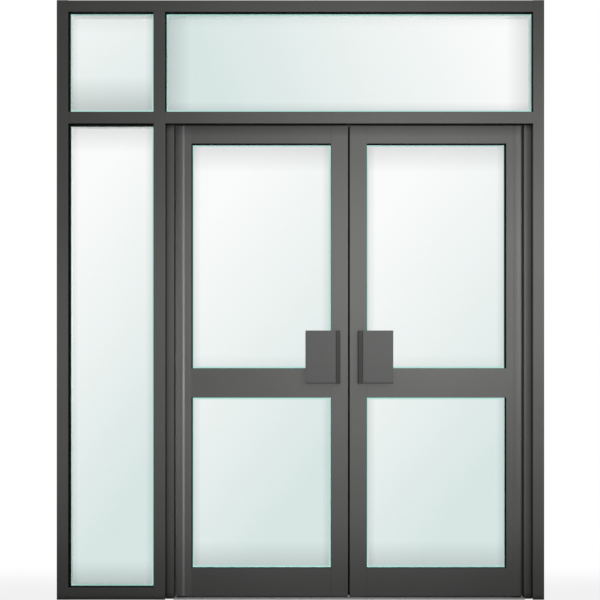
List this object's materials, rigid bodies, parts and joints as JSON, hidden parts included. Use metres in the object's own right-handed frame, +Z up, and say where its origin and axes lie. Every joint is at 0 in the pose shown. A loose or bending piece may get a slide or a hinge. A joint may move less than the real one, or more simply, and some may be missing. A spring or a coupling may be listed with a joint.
{
  "type": "shop door",
  "caption": "Glazed shop door in dark grey aluminium: swinging leaves with round-nosed pivot stiles and plate pulls, beside a sidelight and under fixed top lights.",
  "frame": {"origin": "On the outer (wall) face of the left post, at floor level, in the middle of the frame's depth", "axes": "+X to the right seen from the street side, along the width; +Y through the doorway towards the inside; +Z up"},
  "size_m": [2.114, 0.16, 2.6],
  "materials": {
    "frame_coat": "dark grey satin powder coat on extruded aluminium",
    "leaf_coat": "dark grey satin powder coat on extruded aluminium",
    "threshold_metal": "plain silver mill finish, lightly scuffed",
    "pivot_steel": "bright turned steel",
    "glass": "pale blue-green toughened glass",
    "gasket": "matt black rubber",
    "handle_plate": "grey satin plate",
    "handle_spine": "darker grey satin bar"
  },
  "bodies": {
    "frame": {"left_post": "frame_coat", "right_post": "frame_coat", "mullion": "frame_coat", "head": "frame_coat", "sidelight_transom": "frame_coat", "door_transom": "frame_coat", "sidelight_sill": "frame_coat", "left_pivot_jamb": "frame_coat", "right_pivot_jamb": "frame_coat", "threshold": "threshold_metal", "floor_pivots": "pivot_steel", "top_pivots": "pivot_steel", "sidelight_glass": "glass", "sidelight_top_glass": "glass", "fanlight_glass": "glass", "frame_gaskets": "gasket"},
    "left_leaf": {"left_pivot_stile": "leaf_coat", "left_meeting_stile": "leaf_coat", "left_top_rail": "leaf_coat", "left_mid_rail": "leaf_coat", "left_bottom_rail": "leaf_coat", "left_upper_glass": "glass", "left_lower_glass": "glass", "left_gaskets": "gasket", "left_meeting_seal": "gasket", "left_pivot_blocks": "pivot_steel", "left_front_handle_plate": "handle_plate", "left_front_handle_spine": "handle_spine", "left_back_handle_plate": "handle_plate", "left_back_handle_spine": "handle_spine"},
    "right_leaf": {"right_pivot_stile": "leaf_coat", "right_meeting_stile": "leaf_coat", "right_top_rail": "leaf_coat", "right_mid_rail": "leaf_coat", "right_bottom_rail": "leaf_coat", "right_upper_glass": "glass", "right_lower_glass": "glass", "right_gaskets": "gasket", "right_meeting_seal": "gasket", "right_pivot_blocks": "pivot_steel", "right_front_handle_plate": "handle_plate", "right_front_handle_spine": "handle_spine", "right_back_handle_plate": "handle_plate", "right_back_handle_spine": "handle_spine"}
  },
  "joints": [
    {"name": "left_leaf_swing", "type": "hinge", "parent": "frame", "child": "left_leaf", "pos_m": [0.539, 0, 0], "axis": [0, 0, 1], "range_deg": [-90, 90], "stiffness_Nm_per_rad": 12},
    {"name": "right_leaf_swing", "type": "hinge", "parent": "frame", "child": "right_leaf", "pos_m": [1.997, 0, 0], "axis": [0, 0, -1], "range_deg": [-90, 90], "stiffness_Nm_per_rad": 12}
  ]
}
